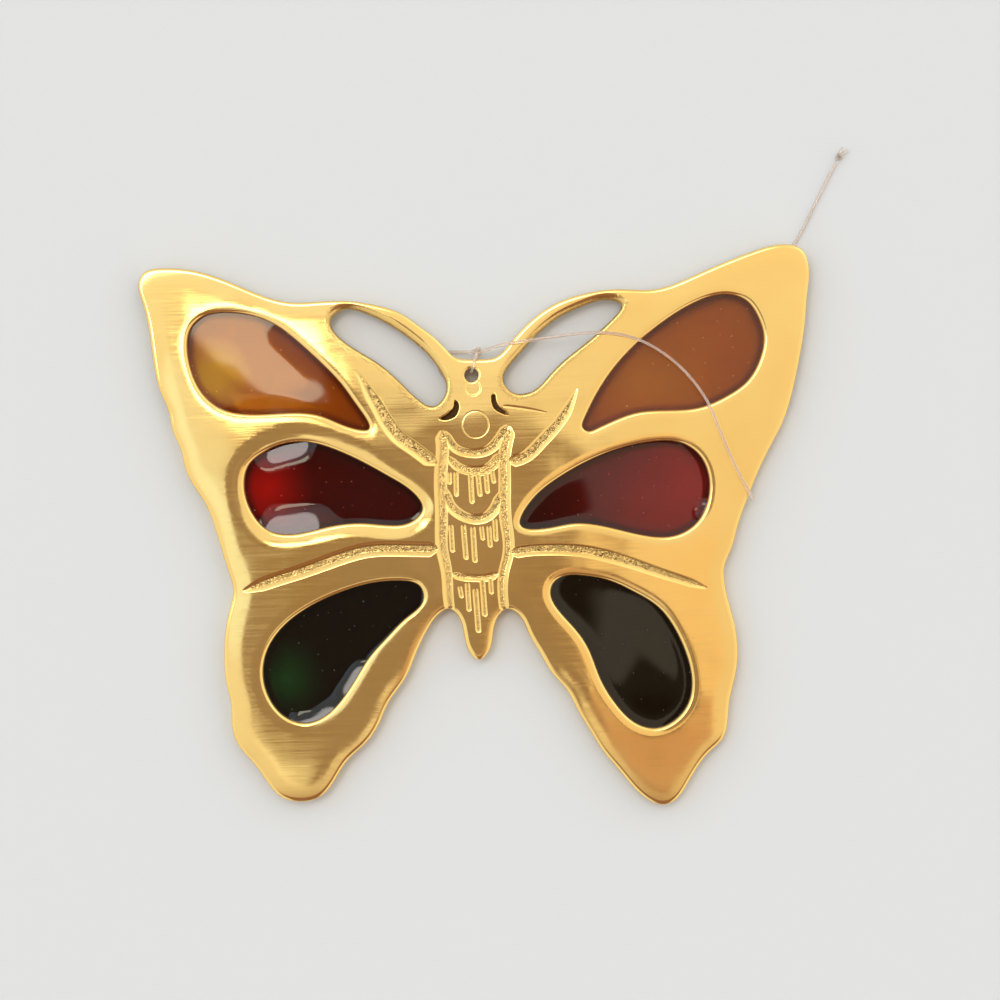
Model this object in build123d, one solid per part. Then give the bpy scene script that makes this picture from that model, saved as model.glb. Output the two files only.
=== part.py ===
from build123d import *
import math
import os

# A flat cast brass butterfly, lying on its back, with six panes of poured resin and a nylon hanging line.
# Millimetres. +X is to the right as seen from the front, +Y towards the head, +Z out of the front face.
# The origin is under the middle of the casting's box, on the surface that it lies on.

# Driving sizes of the casting
wing_span = 100.0
wing_height = 83.0
plate_thickness = 3.0
edge_round = 0.6
lip_round = 0.9
antenna_round = 0.5
hole_diameter = 2.05

# The back is relieved at the head end, where the hanging line passes under the casting
relief_depth = 0.8
relief_start_share = 0.193
relief_ramp = 2.0

# Cut veins, body lines and hair strokes in the front face
vein_width = 1.3
vein_depth = 0.5
body_line_width = 0.8
body_line_depth = 0.4
crescent_width = 1.0
crescent_depth = 1.2
hair_width = 0.4
hair_depth = 0.25
ring_diameter = 4.0
ring_width = 0.2
ring_depth = 0.15
vein_tip_share = 0.35
even_share = 1.0

# Panes, and the hanging line with its knots
pane_back_step = 0.1
line_diameter = 0.45
line_clearance = 0.175
floor_clearance = 0.025
knot_diameter = 1.5
end_knot_diameter = 1.0
tag_length = 1.6
tag_turns = (-35, 10)
corner_share = 0.45

# Every cut starts or ends this far outside the solid
overrun = 1.0

# The photograph shows the casting turned, and these pixels span its straightened box
photo_turn = math.radians(1.75)
centre_pixel = (481.2, 532.0)
span_pixels = 671.3
height_pixels = 557.2

# Stretched one way, the outlines bend more tightly, and the roundings of their edges follow
span_scale = wing_span / span_pixels
height_scale = wing_height / height_pixels
bend_share = (min(span_scale, height_scale) / max(span_scale, height_scale)) ** 2

# Outlines, read in pixels of the photograph
wing_outline_pixels = [
    (465, 359), (455, 357), (447, 350), (434, 337), (418, 325), (400, 313), (376, 305), (350, 301),
    (322, 301), (290, 302), (264, 296), (232, 283), (196, 271), (161, 268), (143, 273), (138, 283),
    (142, 303), (149, 333), (154, 368), (160, 392), (168, 411), (172, 430), (180, 449), (186, 472),
    (204, 502), (214, 526), (221, 549), (229, 574), (233, 590), (230, 607), (225, 632), (224, 661),
    (226, 684), (231, 706), (232, 728), (239, 747), (252, 762), (266, 781), (279, 796), (300, 802),
    (320, 797), (333, 783), (348, 760), (365, 744), (379, 724), (389, 702), (405, 679), (416, 654),
    (428, 629), (438, 615), (449, 609), (458, 616), (464, 635), (470, 653), (479, 660), (488, 653),
    (493, 636), (498, 617), (507, 609), (519, 615), (529, 634), (540, 653), (552, 673), (566, 689),
    (577, 709), (589, 729), (603, 751), (618, 769), (634, 788), (650, 801), (664, 805), (676, 800),
    (686, 787), (698, 767), (711, 751), (723, 739), (728, 722), (730, 700), (736, 674), (738, 648),
    (735, 624), (729, 602), (725, 582), (725, 566), (732, 548), (737, 530), (748, 498), (758, 473),
    (771, 446), (784, 420), (792, 395), (799, 363), (805, 326), (808, 292), (809, 264), (802, 249),
    (783, 244), (756, 250), (722, 263), (690, 277), (655, 289), (616, 289), (586, 293), (556, 303),
    (529, 322), (508, 345), (495, 357), (482, 359),
]
left_antenna_pixels = [
    (331, 319), (342, 310), (362, 312), (386, 323), (410, 339), (428, 355), (441, 373), (446, 390),
    (433, 406), (418, 399), (396, 378), (375, 361), (352, 347),
]
right_antenna_pixels = [
    (621, 304), (612, 300), (588, 304), (558, 318), (534, 338), (516, 358), (504, 381), (511, 391),
    (530, 392), (552, 372), (588, 341), (612, 319),
]
pane_pixels = {
    "amber_pane_left": [
        (187, 345), (190, 329), (203, 316), (226, 312), (251, 315), (274, 324), (298, 342), (320, 362),
        (341, 384), (357, 406), (368, 429), (353, 428), (318, 415), (281, 413), (247, 414), (220, 408),
        (201, 392), (191, 371),
    ],
    "amber_pane_right": [
        (611, 372), (635, 345), (667, 319), (700, 300), (726, 294), (746, 300), (758, 316), (764, 338),
        (760, 359), (748, 380), (728, 395), (700, 407), (667, 410), (634, 413), (610, 422), (596, 428.5),
        (587, 430.5), (583, 427), (584.5, 419), (592, 403),
    ],
    "red_pane_left": [
        (244, 482), (248, 466), (262, 453), (282, 444), (306, 442), (333, 449), (362, 462), (391, 478),
        (414, 494), (422, 509), (412, 521), (390, 525), (361, 523), (326, 527), (292, 534), (268, 530),
        (252, 513),
    ],
    "red_pane_right": [
        (521, 525), (530, 503), (554, 481), (586, 462), (621, 448), (656, 441), (682, 443), (701, 457),
        (709, 477), (708, 500), (698, 521), (676, 535), (644, 535), (609, 527), (575, 523), (545, 528),
    ],
    "green_pane_left": [
        (263, 670), (267, 651), (282, 628), (306, 609), (339, 593), (373, 583), (400, 581), (420, 587),
        (423, 599), (407, 617), (387, 637), (370, 656), (356, 678), (342, 699), (325, 716), (305, 723),
        (285, 717), (270, 700),
    ],
    "green_pane_right": [
        (551, 592), (554, 583), (566, 576), (585, 576), (607, 580), (634, 592), (659, 608), (676, 631),
        (687, 656), (692, 682), (688, 704), (675, 720), (656, 728), (636, 723), (617, 705), (601, 679),
        (588, 647), (573, 626), (558, 609),
    ],
}

# Centre lines of the cut work, from the body outwards or from the head down, in pixels
hole_pixel = (471.3, 375)
ring_pixel = (475.5, 424)
vein_pixels = [
    [(440, 549), (402, 547), (362, 549), (330, 557), (300, 568), (265, 579), (241, 591)],
    [(511, 551), (535, 546), (560, 547), (586, 551), (612, 557), (662, 575), (707, 590)],
    [(438, 467), (424, 460), (402, 440), (383, 415), (370, 390), (358, 372)],
    [(509, 461), (528, 450), (551, 430), (569, 405), (578, 386)],
]
body_line_pixels = [
    [(436, 433), (442, 452), (440, 470), (439, 498), (440, 525), (441, 560), (447, 588), (455, 609)],
    [(508, 430), (505, 452), (508, 478), (507, 512), (511, 540), (508, 570), (504, 592), (499, 609)],
    [(446, 431), (456, 448), (473, 455), (493, 447), (507, 427)],
    [(446, 468), (459, 473), (473, 475), (488, 473), (501, 466)],
    [(445, 498), (456, 513), (473, 518), (491, 512), (501, 495)],
    [(450, 573), (462, 577), (474, 578), (487, 577), (498, 572)],
]
crescent_pixels = [
    [(455, 400), (455, 407), (450, 414), (440, 418)],
    [(494, 393), (496, 404), (503, 411), (513, 411)],
]
hair_pixels = [
    ((451, 480), (452, 492)), ((459, 480), (460, 498)), ((472, 482), (473, 502)), ((482, 481), (483, 496)),
    ((493, 479), (493, 490)), ((453, 522), (454, 542)), ((466, 526), (467, 556)), ((475, 526), (476, 563)),
    ((484, 525), (485, 550)), ((494, 520), (494, 540)), ((461, 586), (464, 602)), ((470, 586), (472, 628)),
    ((478, 586), (479, 612)), ((487, 586), (486, 600)),
]

# Route of the hanging line, chosen by hand. It starts at the knot above the head, goes round the bridge
# between hole and edge, and leaves the knot as a front tail over the right wing and a back tail under it.
knot_spot = (477.02, 351.12, 0.46)
end_knot_spot = (841.06, 154.29, 0.079)
loop_route = [
    (477.03, 351.46, 0.571), (477.07, 352.8, 0.968), (474.29, 360.94, 1.048), (471.6, 371.77, 1.016),
    (471.31, 373.12, 0.492), (471.6, 371.77, 0.016), (474.29, 360.94, 0.032), (477.07, 352.8, 0.048),
    (477.03, 351.46, 0.349),
]
front_tail_route = [
    (479.4, 351.0, 0.476), (485.7, 349.8, 0.571), (493.0, 347.6, 0.841), (501.7, 345.0, 1.016),
    (518.4, 342.1, 1.032), (542.5, 338.7, 1.016), (569.9, 334.5, 1.0), (597.3, 332.3, 1.0),
    (621.6, 334.3, 1.0), (644.6, 341.6, 1.0), (666.5, 355.1, 1.0), (684.5, 370.6, 1.0),
    (699.1, 388.3, 1.0), (710.4, 406.8, 1.0), (719.2, 429.4, 1.0), (730.8, 457.2, 1.0),
    (742.9, 481.7, 1.0), (752.9, 498.8, 1.0),
]
back_tail_route = [
    (474.7, 351.2, 0.444), (468.3, 351.4, 0.349), (462.2, 351.2, 0.159), (455.5, 350.8, 0.022),
    (448.8, 350.6, 0.006), (442.9, 353.8, 0.0), (439.1, 359.4, 0.0), (438.3, 366.1, 0.0),
    (440.5, 372.4, 0.0), (445.9, 377.6, 0.0), (453.8, 383.7, 0.0), (463.4, 389.5, 0.0),
    (475.6, 393.8, 0.0), (490.5, 396.7, 0.0), (508.0, 397.9, 0.0), (526.8, 396.3, 0.0),
    (546.7, 389.6, 0.0), (571.8, 376.8, 0.0), (604.8, 357.6, 0.0), (643.1, 335.6, 0.0),
    (682.8, 314.9, 0.0), (722.5, 296.3, 0.0), (755.5, 278.5, 0.0), (779.2, 262.3, 0.0),
    (794.8, 245.7, 0.0), (806.9, 223.8, 0.0), (818.9, 198.6, 0.01), (830.3, 175.4, 0.032),
    (838.8, 158.7, 0.063),
]


def place(pixel):
    """Turn a pixel of the photograph into millimetres on the straightened casting."""
    across = pixel[0] - centre_pixel[0]
    up = centre_pixel[1] - pixel[1]
    turned_x = across * math.cos(photo_turn) + up * math.sin(photo_turn)
    turned_y = up * math.cos(photo_turn) - across * math.sin(photo_turn)
    return (turned_x * span_scale, turned_y * height_scale)


def outline(pixels):
    """A face inside a smooth closed curve through the pixels."""
    return make_face(Spline([place(pixel) for pixel in pixels], periodic=True))


def through_cut(pixels):
    """A prism through the whole plate."""
    return Pos(0, 0, -overrun) * extrude(outline(pixels), plate_thickness + 2 * overrun)


def front_cut(face, depth):
    """A cut of this depth into the front face."""
    return Pos(0, 0, plate_thickness - depth) * extrude(face, depth + overrun)


def ribbon(pixels, width, tip_share):
    """A channel along a centre line, narrowing evenly to a share of its width at the far end."""
    spots = [Vector(*place(pixel)) for pixel in pixels]
    last = len(spots) - 1
    left_side = []
    right_side = []
    for i, spot in enumerate(spots):
        along = spots[min(i + 1, last)] - spots[max(i - 1, 0)]
        side = along.normalized().rotate(Axis.Z, 90)
        half = width / 2 * (1 + (tip_share - 1) * i / last)
        left_side.append(spot + side * half)
        right_side.append(spot - side * half)
    edges = [
        Spline(left_side),
        Line(left_side[-1], right_side[-1]),
        Spline(right_side),
        Line(right_side[0], left_side[0]),
    ]
    return make_face(edges)


def hair_stroke(ends):
    """A short round-ended stroke between two pixels."""
    top = Vector(*place(ends[0]))
    foot = Vector(*place(ends[1]))
    middle = (top + foot) / 2
    along = top - foot
    turn = math.degrees(math.atan2(along.Y, along.X))
    return Pos(middle.X, middle.Y) * Rot(0, 0, turn) * SlotCenterToCenter(along.length, hair_width)


def front_edge(solid, pixels):
    """The front edge of an opening, found at its first pixel."""
    edges = solid.edges().filter_by_position(Axis.Z, plate_thickness, plate_thickness)
    return edges.sort_by_distance(Vertex(*place(pixels[0]), plate_thickness))[0]


def back_relief():
    """The space under the head end, with a ramp from the flat of the back."""
    start = wing_height * relief_start_share
    far = wing_height
    profile = Polyline(
        (start, -overrun), (start, 0), (start + relief_ramp, relief_depth),
        (far, relief_depth), (far, -overrun), close=True,
    )
    return extrude(Plane.YZ * make_face(profile), wing_span, both=True)


def casting():
    """The brass plate with its openings, rounded lips, relieved back and cut work."""
    plate = extrude(outline(wing_outline_pixels), plate_thickness)
    plate = fillet(front_edge(plate, wing_outline_pixels), edge_round * bend_share)
    antennae = (left_antenna_pixels, right_antenna_pixels)
    panes = pane_pixels.values()
    plate -= [through_cut(pixels) for pixels in (*antennae, *panes)]
    plate = fillet([front_edge(plate, pixels) for pixels in antennae], antenna_round * bend_share)
    plate = fillet([front_edge(plate, pixels) for pixels in panes], lip_round * bend_share)
    hole = Cylinder(hole_diameter / 2, plate_thickness + 2 * overrun)
    ring = Circle(ring_diameter / 2) - Circle(ring_diameter / 2 - ring_width)
    cuts = [back_relief(), Pos(*place(hole_pixel), plate_thickness / 2) * hole]
    cuts += [front_cut(Pos(*place(ring_pixel)) * ring, ring_depth)]
    for lines, width, tip_share, depth in (
        (vein_pixels, vein_width, vein_tip_share, vein_depth),
        (body_line_pixels, body_line_width, even_share, body_line_depth),
        (crescent_pixels, crescent_width, even_share, crescent_depth),
    ):
        cuts += [front_cut(ribbon(line, width, tip_share), depth) for line in lines]
    cuts += [front_cut(hair_stroke(ends), hair_depth) for ends in hair_pixels]
    return plate - cuts


def pane(pixels):
    """A poured pane, from just above the relieved back up to the foot of the rounded lip."""
    back = relief_depth + pane_back_step
    return Pos(0, 0, back) * extrude(outline(pixels), plate_thickness - lip_round * bend_share - back)


def route_spot(spot):
    """Turn a pixel, and a share of the height from the surface below to the front face, into millimetres."""
    low = floor_clearance + line_diameter / 2
    high = plate_thickness + line_clearance + line_diameter / 2
    return Vector(*place(spot), low + (high - low) * spot[2])


def line_tube(route, label):
    """A round tube along straight runs that are joined by the largest arcs that the runs allow."""
    spots = [route_spot(spot) for spot in route]
    radii = []
    for before, at, after in zip(spots, spots[1:], spots[2:]):
        turn = math.radians((at - before).get_angle(after - at))
        shorter = min((at - before).length, (after - at).length)
        radii.append(corner_share * shorter / math.tan(turn / 2))
    path = FilletPolyline(*spots, radius=radii)
    section = Plane(origin=path @ 0, z_dir=path % 0) * Circle(line_diameter / 2)
    tube = sweep(section, path=path)
    expected = math.pi * line_diameter ** 2 / 4 * path.length
    print(label, "length", round(path.length, 2), "volume share", round(tube.volume / expected, 4))
    print(label, "smallest radius", round(min(radii), 2), "radii", [round(r, 2) for r in radii])
    return tube


def end_knot(tail):
    """The small knot at the far end of the back tail, with its two cut ends."""
    spot = route_spot(end_knot_spot)
    away = spot - route_spot(back_tail_route[-2])
    heading = math.degrees(math.atan2(away.Y, away.X))
    knot = Pos(spot) * Sphere(end_knot_diameter / 2)
    tag = Cylinder(line_diameter / 2, tag_length, align=(Align.CENTER, Align.CENTER, Align.MIN))
    for turn in tag_turns:
        knot += Pos(spot) * Rot(0, 0, heading + turn) * Rot(0, 90, 0) * tag
    return knot - tail


os.makedirs("parts", exist_ok=True)
nodes = {"wing_casting": casting()}
for name, pixels in pane_pixels.items():
    nodes[name] = pane(pixels)
nodes["line_bridge_loop"] = line_tube(loop_route, "line_bridge_loop")
nodes["line_front_tail"] = line_tube(front_tail_route, "line_front_tail")
nodes["line_back_tail"] = line_tube(back_tail_route, "line_back_tail")
knot = Pos(route_spot(knot_spot)) * Sphere(knot_diameter / 2)
for name in ("line_bridge_loop", "line_front_tail", "line_back_tail"):
    knot -= nodes[name]
nodes["line_knot"] = knot
nodes["line_end_knot"] = end_knot(nodes["line_back_tail"])
for name, shape in nodes.items():
    export_step(shape, f"parts/{name}.step")
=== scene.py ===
import math

import bpy
import numpy as np
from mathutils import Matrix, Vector, geometry, kdtree, noise


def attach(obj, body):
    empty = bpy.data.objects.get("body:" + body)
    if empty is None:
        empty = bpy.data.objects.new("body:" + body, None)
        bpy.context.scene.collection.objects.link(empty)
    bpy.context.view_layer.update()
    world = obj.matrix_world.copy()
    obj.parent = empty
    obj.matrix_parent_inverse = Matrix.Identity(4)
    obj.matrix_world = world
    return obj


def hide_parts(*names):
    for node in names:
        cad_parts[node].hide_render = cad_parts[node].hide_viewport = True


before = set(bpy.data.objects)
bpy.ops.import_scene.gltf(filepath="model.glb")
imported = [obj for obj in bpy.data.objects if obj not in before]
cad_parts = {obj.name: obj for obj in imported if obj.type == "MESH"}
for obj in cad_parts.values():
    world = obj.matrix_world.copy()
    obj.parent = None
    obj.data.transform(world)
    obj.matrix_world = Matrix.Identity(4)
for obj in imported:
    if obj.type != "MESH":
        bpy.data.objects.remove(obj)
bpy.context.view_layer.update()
bpy.ops.object.select_all(action="DESELECT")

# Brass casting: wings, antenna bars and body in one sand-cast plate, with the front polished by hand and the
# veins and the body chased in with a punch. A polished face shows every facet, so the front is drawn as one
# fine sheet, cut and rounded by its heights, and the walls and the flat back are built down from it.
wing_span = 100.0  # millimetres, like the other sizes of the plate and the panes
wing_height = 83.0
front_height = 3.0
wall_chamfer = 0.2
relief_start = 16.02
relief_ramp = 2.0
relief_depth = 0.8
hole_centre = (-0.76, 23.42)
hole_radius = 1.025
hole_steps = 42
# The photograph: where the casting's middle is in it, its turn, and millimetres per pixel across and up
middle_pixel = (481.2, 532.0)
photo_turn = math.radians(1.75)
span_scale = wing_span / 671.3
height_scale = wing_height / 557.2
brass_bright = "#F7D88D"
brass_warm = "#F0C877"
brass_tarnish = "#3C2812"
brass_cast = "#B98F4C"


def spot(pixel):
    """Millimetres on the casting of a pixel of the photograph."""
    across = pixel[0] - middle_pixel[0]
    up = middle_pixel[1] - pixel[1]
    x = across * math.cos(photo_turn) + up * math.sin(photo_turn)
    y = up * math.cos(photo_turn) - across * math.sin(photo_turn)
    return (x * span_scale, y * height_scale)


def linear(code):
    """Linear colour of an sRGB hex code."""
    parts = [int(code[i:i + 2], 16) / 255 for i in (1, 3, 5)]
    return [c / 12.92 if c <= 0.04045 else ((c + 0.055) / 1.055) ** 2.4 for c in parts] + [1.0]


def add_node(tree, kind, values=None, links=None):
    """Add a node with its settings, socket values and incoming links."""
    node = tree.nodes.new(kind)
    for key, value in (values or {}).items():
        if isinstance(key, int) or key in node.inputs:
            node.inputs[key].default_value = value
        else:
            setattr(node, key, value)
    for key, source in (links or {}).items():
        tree.links.new(source, node.inputs[key])
    return node


def new_material(name):
    """A material with an empty node tree, and that tree."""
    material = bpy.data.materials.new(name)
    material.use_nodes = True
    material.node_tree.nodes.clear()
    return material, material.node_tree


def smooth_line(spots, closed, step):
    """Points at an even step along the cubic spline through the spots, anticlockwise if closed."""
    spots = np.array(spots, float)
    if closed:
        ahead = np.roll(spots, -1, 0)
        if (spots[:, 0] * ahead[:, 1] - spots[:, 1] * ahead[:, 0]).sum() < 0:
            spots = spots[::-1]
        spots = np.vstack([spots, spots[:1]])
    gaps = np.hypot(*np.diff(spots, axis=0).T)
    grades = np.diff(spots, axis=0) / gaps[:, None]
    last = len(gaps)
    matrix = np.zeros((last + 1, last + 1))
    sums = np.zeros((last + 1, 2))
    for i in range(1, last):
        matrix[i, i - 1:i + 2] = gaps[i], 2 * (gaps[i - 1] + gaps[i]), gaps[i - 1]
        sums[i] = 3 * (gaps[i] * grades[i - 1] + gaps[i - 1] * grades[i])
    if closed:
        matrix[0, [0, 1, last - 1]] = 2 * (gaps[-1] + gaps[0]), gaps[-1], gaps[0]
        sums[0] = 3 * (gaps[0] * grades[-1] + gaps[-1] * grades[0])
        matrix[last, [0, last]] = 1, -1
    else:
        matrix[0, :2] = matrix[last, [last, last - 1]] = 2, 1
        sums[0], sums[last] = 3 * grades[0], 3 * grades[-1]
    slopes = np.linalg.solve(matrix, sums)
    knots = np.concatenate([[0], np.cumsum(gaps)])
    count = max(3, round(knots[-1] / step))
    places = np.linspace(0, knots[-1], count + 1)[:count if closed else count + 1]
    i = np.clip(np.searchsorted(knots, places, side="right") - 1, 0, last - 1)
    gap = gaps[i][:, None]
    u = (places - knots[i])[:, None] / gap
    near = spots[i] * (1 + 2 * u) * (1 - u) ** 2 + slopes[i] * gap * u * (1 - u) ** 2
    return near + spots[i + 1] * u * u * (3 - 2 * u) + slopes[i + 1] * gap * u * u * (u - 1)


def inward(loop):
    """Unit directions to the left of an anticlockwise loop, at each of its points."""
    along = np.roll(loop, -1, 0) - np.roll(loop, 1, 0)
    along /= np.hypot(*along.T)[:, None]
    return np.stack([-along[:, 1], along[:, 0]], 1)


def crowd(points):
    """A search tree over flat points."""
    tree = kdtree.KDTree(len(points))
    for i, (x, y) in enumerate(points):
        tree.insert((x, y, 0), i)
    tree.balance()
    return tree


def measure(points, lines, closed):
    """Each point's distance from the nearest line, its side of it, its share along it and the place there."""
    spots = np.vstack(lines)
    starts = np.cumsum([0] + [len(line) for line in lines])
    before = np.arange(len(spots)) - 1
    after = before + 2
    shares = np.concatenate([np.linspace(0, 1, len(line)) for line in lines])
    for first, end in zip(starts, starts[1:]):
        before[first], after[end - 1] = (end - 1, first) if closed else (first, end - 1)
    tree = crowd(spots)
    at = np.array([tree.find((x, y, 0))[1] for x, y in points], int)
    best = np.full(len(points), 1e9)
    for other in (before[at], after[at]):
        run = spots[other] - spots[at]
        share = ((points - spots[at]) * run).sum(1) / np.maximum((run ** 2).sum(1), 1e-12)
        foot = spots[at] + run * np.clip(share, 0, 1)[:, None]
        best = np.minimum(best, np.hypot(*(foot - points).T))
    run = spots[after[at]] - spots[before[at]]
    off = points - spots[at]
    return best, np.sign(run[:, 0] * off[:, 1] - run[:, 1] * off[:, 0]), shares[at], at


def within(points, loops):
    """Whether each point is inside an odd number of the loops."""
    inside = np.zeros(len(points), bool)
    for loop in loops:
        ahead = np.roll(loop, -1, 0)
        for (ax, ay), (bx, by) in zip(loop, ahead):
            crossed = (points[:, 1] < ay) != (points[:, 1] < by)
            if crossed.any():
                reach = ax + (points[crossed, 1] - ay) * (bx - ax) / (by - ay)
                inside[crossed] ^= points[crossed, 0] < reach
    return inside


def triangulate(loops, free):
    """Points and triangles of a flat sheet between the loops, and where each loop's points went."""
    points = np.vstack([*loops, free])
    edges = []
    starts = []
    for loop in loops:
        start = len(edges)
        starts.append(start)
        edges += [(start + i, start + (i + 1) % len(loop)) for i in range(len(loop))]
    found = geometry.delaunay_2d_cdt([Vector(p) for p in points], edges, [], 0, 1e-6)
    places = np.array([tuple(p) for p in found[0]])
    to_new = np.zeros(len(points), int)
    for new, olds in enumerate(found[3]):
        to_new[olds] = new
    rims = [to_new[start:start + len(loop)] for start, loop in zip(starts, loops)]
    on_rim = np.zeros(len(places), bool)
    for rim in rims:
        on_rim[rim] = True
    triangles = np.array(found[2])
    doubtful = on_rim[triangles].all(1)
    keep = ~doubtful
    keep[doubtful] = within(places[triangles[doubtful]].mean(1), loops)
    return places, triangles[keep], rims


def honeycomb(low, high, step):
    """Staggered points over a box."""
    rows = np.arange(low[1], high[1], step * 0.866)
    columns = np.arange(low[0], high[0], step)
    return np.array([(x + step / 2 * (j % 2), y) for j, y in enumerate(rows) for x in columns])


def pick(piece):
    """Select one piece alone and make it active."""
    bpy.ops.object.select_all(action="DESELECT")
    piece.select_set(True)
    bpy.context.view_layer.objects.active = piece


def solid_piece(name, points, faces, materials):
    """A mesh object at the origin, from points in millimetres."""
    mesh = bpy.data.meshes.new(name)
    mesh.from_pydata((np.array(points) / 1000).tolist(), [], [tuple(int(i) for i in f) for f in faces])
    piece = bpy.data.objects.new(name, mesh)
    bpy.context.scene.collection.objects.link(piece)
    for material in materials:
        mesh.materials.append(material)
    pick(piece)
    return piece


# Outlines of the plate and its openings: traced points, in the photograph's pixel coordinates
wing_outline = [
    (465, 359), (455, 357), (447, 350), (434, 337), (418, 325), (400, 313), (376, 305), (350, 301),
    (322, 301), (290, 302), (264, 296), (232, 283), (196, 271), (161, 268), (143, 273), (138, 283),
    (142, 303), (149, 333), (154, 368), (160, 392), (168, 411), (172, 430), (180, 449), (186, 472),
    (204, 502), (214, 526), (221, 549), (229, 574), (233, 590), (230, 607), (225, 632), (224, 661),
    (226, 684), (231, 706), (232, 728), (239, 747), (252, 762), (266, 781), (279, 796), (300, 802),
    (320, 797), (333, 783), (348, 760), (365, 744), (379, 724), (389, 702), (405, 679), (416, 654),
    (428, 629), (438, 615), (449, 609), (458, 616), (464, 635), (470, 653), (479, 660), (488, 653),
    (493, 636), (498, 617), (507, 609), (519, 615), (529, 634), (540, 653), (552, 673), (566, 689),
    (577, 709), (589, 729), (603, 751), (618, 769), (634, 788), (650, 801), (664, 805), (676, 800),
    (686, 787), (698, 767), (711, 751), (723, 739), (728, 722), (730, 700), (736, 674), (738, 648),
    (735, 624), (729, 602), (725, 582), (725, 566), (732, 548), (737, 530), (748, 498), (758, 473),
    (771, 446), (784, 420), (792, 395), (799, 363), (805, 326), (808, 292), (809, 264), (802, 249),
    (783, 244), (756, 250), (722, 263), (690, 277), (655, 289), (616, 289), (586, 293), (556, 303),
    (529, 322), (508, 345), (495, 357), (482, 359),
]
left_antenna = [
    (331, 319), (342, 310), (362, 312), (386, 323), (410, 339), (428, 355), (441, 373), (446, 390),
    (433, 406), (418, 399), (396, 378), (375, 361), (352, 347),
]
right_antenna = [
    (621, 304), (612, 300), (588, 304), (558, 318), (534, 338), (516, 358), (504, 381), (511, 391),
    (530, 392), (552, 372), (588, 341), (612, 319),
]
pane_outlines = {
    "amber_pane_left": [
        (187, 345), (190, 329), (203, 316), (226, 312), (251, 315), (274, 324), (298, 342), (320, 362),
        (341, 384), (357, 406), (368, 429), (353, 428), (318, 415), (281, 413), (247, 414), (220, 408),
        (201, 392), (191, 371),
    ],
    "amber_pane_right": [
        (611, 372), (635, 345), (667, 319), (700, 300), (726, 294), (746, 300), (758, 316), (764, 338),
        (760, 359), (748, 380), (728, 395), (700, 407), (667, 410), (634, 413), (610, 422), (596, 428.5),
        (587, 430.5), (583, 427), (584.5, 419), (592, 403),
    ],
    "red_pane_left": [
        (244, 482), (248, 466), (262, 453), (282, 444), (306, 442), (333, 449), (362, 462), (391, 478),
        (414, 494), (422, 509), (412, 521), (390, 525), (361, 523), (326, 527), (292, 534), (268, 530),
        (252, 513),
    ],
    "red_pane_right": [
        (521, 525), (530, 503), (554, 481), (586, 462), (621, 448), (656, 441), (682, 443), (701, 457),
        (709, 477), (708, 500), (698, 521), (676, 535), (644, 535), (609, 527), (575, 523), (545, 528),
    ],
    "green_pane_left": [
        (263, 670), (267, 651), (282, 628), (306, 609), (339, 593), (373, 583), (400, 581), (420, 587),
        (423, 599), (407, 617), (387, 637), (370, 656), (356, 678), (342, 699), (325, 716), (305, 723),
        (285, 717), (270, 700),
    ],
    "green_pane_right": [
        (551, 592), (554, 583), (566, 576), (585, 576), (607, 580), (634, 592), (659, 608), (676, 631),
        (687, 656), (692, 682), (688, 704), (675, 720), (656, 728), (636, 723), (617, 705), (601, 679),
        (588, 647), (573, 626), (558, 609),
    ],
}
edge_step = 0.25


def traced(outline):
    """Loop through the points of a traced outline, at an even step."""
    return smooth_line([spot(p) for p in outline], True, edge_step)


outer_loop = traced(wing_outline)
antenna_loops = [traced(left_antenna), traced(right_antenna)]
pane_loops = {name: traced(outline) for name, outline in pane_outlines.items()}
turns = np.linspace(0, 2 * math.pi, hole_steps, endpoint=False)
hole_loop = hole_centre + hole_radius * np.stack([np.cos(turns), np.sin(turns)], 1)
loops = [outer_loop, *antenna_loops, *pane_loops.values(), hole_loop]
to_brass = [inward(outer_loop)] + [-inward(loop) for loop in loops[1:]]

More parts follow.
